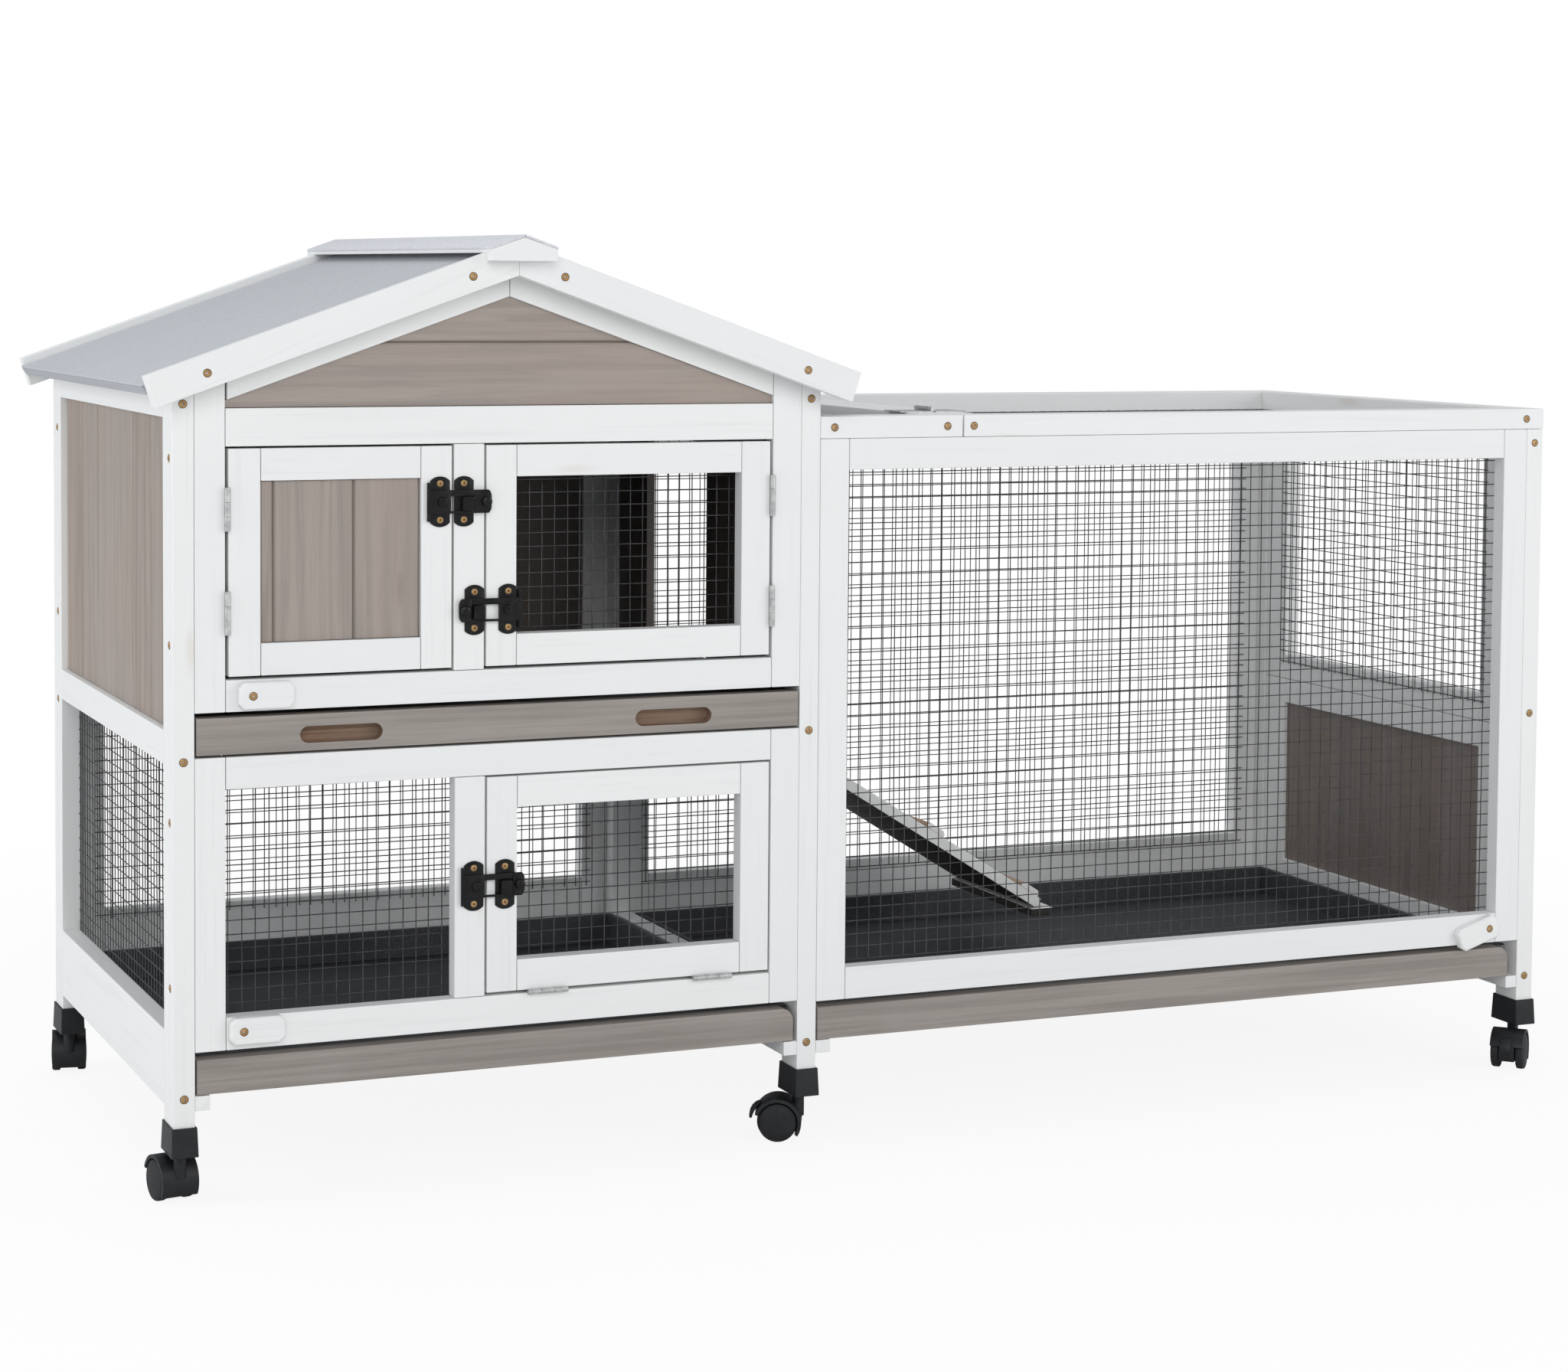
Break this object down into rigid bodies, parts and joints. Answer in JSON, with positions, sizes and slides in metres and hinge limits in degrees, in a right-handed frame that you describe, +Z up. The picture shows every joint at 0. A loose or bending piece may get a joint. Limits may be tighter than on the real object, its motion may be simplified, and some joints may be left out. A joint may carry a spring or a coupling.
{
  "type": "rabbit hutch with run",
  "caption": "Two-storey white and taupe wooden rabbit hutch with a wire run, lift-up lid, ramp, pull-out trays and swivel castors.",
  "frame": {"origin": "centre of the bounding box's footprint, on the floor under the castors", "axes": "+X to the right along the hutch and the run, +Y from the front to the back, +Z up"},
  "size_m": [1.5188, 0.65, 0.8847],
  "materials": {
    "white_paint": "satin white paint over softwood, faint grain",
    "taupe_stain": "matte taupe stain with fine grain",
    "roof_felt": "grey mineral roofing felt, coarse grit",
    "black_wire": "black coated welded wire",
    "steel": "zinc-plated steel hinge",
    "black_plastic": "black moulded plastic and coated latch steel",
    "tray_plastic": "dark grey grainy plastic"
  },
  "bodies": {
    "cabinet": {"corner_posts": "white_paint", "leg_sockets": "black_plastic", "hutch_front_frame": "white_paint", "gable_boards": "taupe_stain", "side_frames": "white_paint", "side_boards": "taupe_stain", "back_frame": "white_paint", "back_boards": "taupe_stain", "run_frames": "white_paint", "run_end_frame": "white_paint", "run_end_boards": "taupe_stain", "fixed_wire": "black_wire", "roof_panels": "white_paint", "roof_felt": "roof_felt", "barge_boards": "white_paint", "ridge_cap": "white_paint", "tray_runners": "white_paint", "ramp_board": "white_paint", "ramp_cleats": "taupe_stain", "fixed_hinge_leaves": "steel", "fixed_latch_plates": "black_plastic"},
    "solid_door": {"solid_door_frame": "white_paint", "solid_door_slats": "taupe_stain", "solid_door_fittings": "black_plastic"},
    "mesh_door": {"mesh_door_frame": "white_paint", "mesh_door_wire": "black_wire", "mesh_door_fittings": "black_plastic"},
    "drop_door": {"drop_door_frame": "white_paint", "drop_door_wire": "black_wire", "drop_door_fittings": "black_plastic"},
    "lid": {"lid_frame": "white_paint", "lid_wire": "black_wire", "lid_hinge_leaves": "steel"},
    "left_latch": {"left_latch_bar": "black_plastic"},
    "right_latch": {"right_latch_bar": "black_plastic"},
    "low_latch": {"low_latch_bar": "black_plastic"},
    "upper_turn": {"upper_button": "white_paint"},
    "low_turn": {"low_button": "white_paint"},
    "run_turn": {"run_button": "white_paint"},
    "upper_tray": {"upper_tray_board": "taupe_stain", "upper_tray_pan": "tray_plastic"},
    "low_tray": {"low_tray_board": "taupe_stain", "low_tray_pan": "tray_plastic"},
    "run_tray": {"run_tray_board": "taupe_stain", "run_tray_pan": "tray_plastic"},
    "hood_front_left": {"castor_hood_front_left": "black_plastic"},
    "wheels_front_left": {"castor_wheels_front_left": "black_plastic"},
    "lever_front_left": {"brake_lever_front_left": "black_plastic"},
    "hood_front_middle": {"castor_hood_front_middle": "black_plastic"},
    "wheels_front_middle": {"castor_wheels_front_middle": "black_plastic"},
    "lever_front_middle": {"brake_lever_front_middle": "black_plastic"},
    "hood_front_right": {"castor_hood_front_right": "black_plastic"},
    "wheels_front_right": {"castor_wheels_front_right": "black_plastic"},
    "lever_front_right": {"brake_lever_front_right": "black_plastic"},
    "hood_back_left": {"castor_hood_back_left": "black_plastic"},
    "wheels_back_left": {"castor_wheels_back_left": "black_plastic"},
    "hood_back_middle": {"castor_hood_back_middle": "black_plastic"},
    "wheels_back_middle": {"castor_wheels_back_middle": "black_plastic"},
    "hood_back_right": {"castor_hood_back_right": "black_plastic"},
    "wheels_back_right": {"castor_wheels_back_right": "black_plastic"}
  },
  "joints": [
    {"name": "solid_door_hinge", "type": "hinge", "parent": "cabinet", "child": "solid_door", "pos_m": [-0.67861, -0.283, 0.586], "axis": [0, 0, 1], "range_deg": [-165, 0]},
    {"name": "mesh_door_hinge", "type": "hinge", "parent": "cabinet", "child": "mesh_door", "pos_m": [-0.14561, -0.283, 0.586], "axis": [0, 0, 1], "range_deg": [0, 165]},
    {"name": "drop_door_hinge", "type": "hinge", "parent": "cabinet", "child": "drop_door", "pos_m": [-0.28836, -0.283, 0.17325], "axis": [-1, 0, 0], "range_deg": [-140, 0]},
    {"name": "lid_hinge", "type": "hinge", "parent": "cabinet", "child": "lid", "pos_m": [0.06014, 0, 0.7155], "axis": [0, -1, 0], "range_deg": [0, 150]},
    {"name": "left_latch_pin", "type": "hinge", "parent": "solid_door", "child": "left_latch", "pos_m": [-0.48986, -0.2826, 0.6375], "axis": [0, 0, 1], "range_deg": [-150, 0]},
    {"name": "right_latch_pin", "type": "hinge", "parent": "mesh_door", "child": "right_latch", "pos_m": [-0.40136, -0.2826, 0.536], "axis": [0, 0, 1], "range_deg": [0, 150]},
    {"name": "low_latch_pin", "type": "hinge", "parent": "drop_door", "child": "low_latch", "pos_m": [-0.45636, -0.2826, 0.277], "axis": [0, 0, 1], "range_deg": [-150, 0]},
    {"name": "upper_button_screw", "type": "hinge", "parent": "cabinet", "child": "upper_turn", "pos_m": [-0.65666, -0.2848, 0.4655], "axis": [0, -1, 0], "range_deg": [-90, 90]},
    {"name": "low_button_screw", "type": "hinge", "parent": "cabinet", "child": "low_turn", "pos_m": [-0.66546, -0.2848, 0.1595], "axis": [0, -1, 0], "range_deg": [-90, 90]},
    {"name": "run_button_screw", "type": "hinge", "parent": "cabinet", "child": "run_turn", "pos_m": [0.68914, -0.2848, 0.1565], "axis": [0, 1, 0], "range_deg": [-72, 108]},
    {"name": "upper_tray_slide", "type": "slide", "parent": "cabinet", "child": "upper_tray", "axis": [0, -1, 0], "range_m": [0, 0.45]},
    {"name": "low_tray_slide", "type": "slide", "parent": "cabinet", "child": "low_tray", "axis": [0, -1, 0], "range_m": [0, 0.45]},
    {"name": "run_tray_slide", "type": "slide", "parent": "cabinet", "child": "run_tray", "axis": [0, -1, 0], "range_m": [0, 0.45]},
    {"name": "swivel_front_left", "type": "hinge", "parent": "cabinet", "child": "hood_front_left", "pos_m": [-0.71836, -0.261, 0.047], "axis": [0, 0, 1], "continuous": true},
    {"name": "spin_front_left", "type": "hinge", "parent": "hood_front_left", "child": "wheels_front_left", "pos_m": [-0.72177, -0.24129, 0.019], "axis": [-0.9854, -0.1702, 0], "continuous": true},
    {"name": "brake_front_left", "type": "hinge", "parent": "hood_front_left", "child": "lever_front_left", "pos_m": [-0.72548, -0.21978, 0.02444], "axis": [-0.9854, -0.1702, 0], "range_deg": [0, 12]},
    {"name": "swivel_front_middle", "type": "hinge", "parent": "cabinet", "child": "hood_front_middle", "pos_m": [-0.10436, -0.261, 0.047], "axis": [0, 0, 1], "continuous": true},
    {"name": "spin_front_middle", "type": "hinge", "parent": "hood_front_middle", "child": "wheels_front_middle", "pos_m": [-0.12249, -0.25255, 0.019], "axis": [-0.4226, -0.9063, 0], "continuous": true},
    {"name": "brake_front_middle", "type": "hinge", "parent": "hood_front_middle", "child": "lever_front_middle", "pos_m": [-0.14228, -0.24332, 0.02444], "axis": [-0.4226, -0.9063, 0], "range_deg": [0, 12]},
    {"name": "swivel_front_right", "type": "hinge", "parent": "cabinet", "child": "hood_front_right", "pos_m": [0.74164, -0.261, 0.047], "axis": [0, 0, 1], "continuous": true},
    {"name": "spin_front_right", "type": "hinge", "parent": "hood_front_right", "child": "wheels_front_right", "pos_m": [0.7275, -0.27514, 0.019], "axis": [0.7071, -0.7071, 0], "continuous": true},
    {"name": "brake_front_right", "type": "hinge", "parent": "hood_front_right", "child": "lever_front_right", "pos_m": [0.71206, -0.29058, 0.02444], "axis": [0.7071, -0.7071, 0], "range_deg": [0, 12]},
    {"name": "swivel_back_left", "type": "hinge", "parent": "cabinet", "child": "hood_back_left", "pos_m": [-0.71836, 0.261, 0.047], "axis": [0, 0, 1], "continuous": true},
    {"name": "spin_back_left", "type": "hinge", "parent": "hood_back_left", "child": "wheels_back_left", "pos_m": [-0.71462, 0.28065, 0.019], "axis": [-0.9823, 0.1874, 0], "continuous": true},
    {"name": "swivel_back_middle", "type": "hinge", "parent": "cabinet", "child": "hood_back_middle", "pos_m": [-0.10436, 0.261, 0.047], "axis": [0, 0, 1], "continuous": true},
    {"name": "spin_back_middle", "type": "hinge", "parent": "hood_back_middle", "child": "wheels_back_middle", "pos_m": [-0.10645, 0.28089, 0.019], "axis": [-0.9945, -0.1045, 0], "continuous": true},
    {"name": "swivel_back_right", "type": "hinge", "parent": "cabinet", "child": "hood_back_right", "pos_m": [0.74164, 0.261, 0.047], "axis": [0, 0, 1], "continuous": true},
    {"name": "spin_back_right", "type": "hinge", "parent": "hood_back_right", "child": "wheels_back_right", "pos_m": [0.73546, 0.28002, 0.019], "axis": [-0.9511, -0.309, 0], "continuous": true}
  ]
}
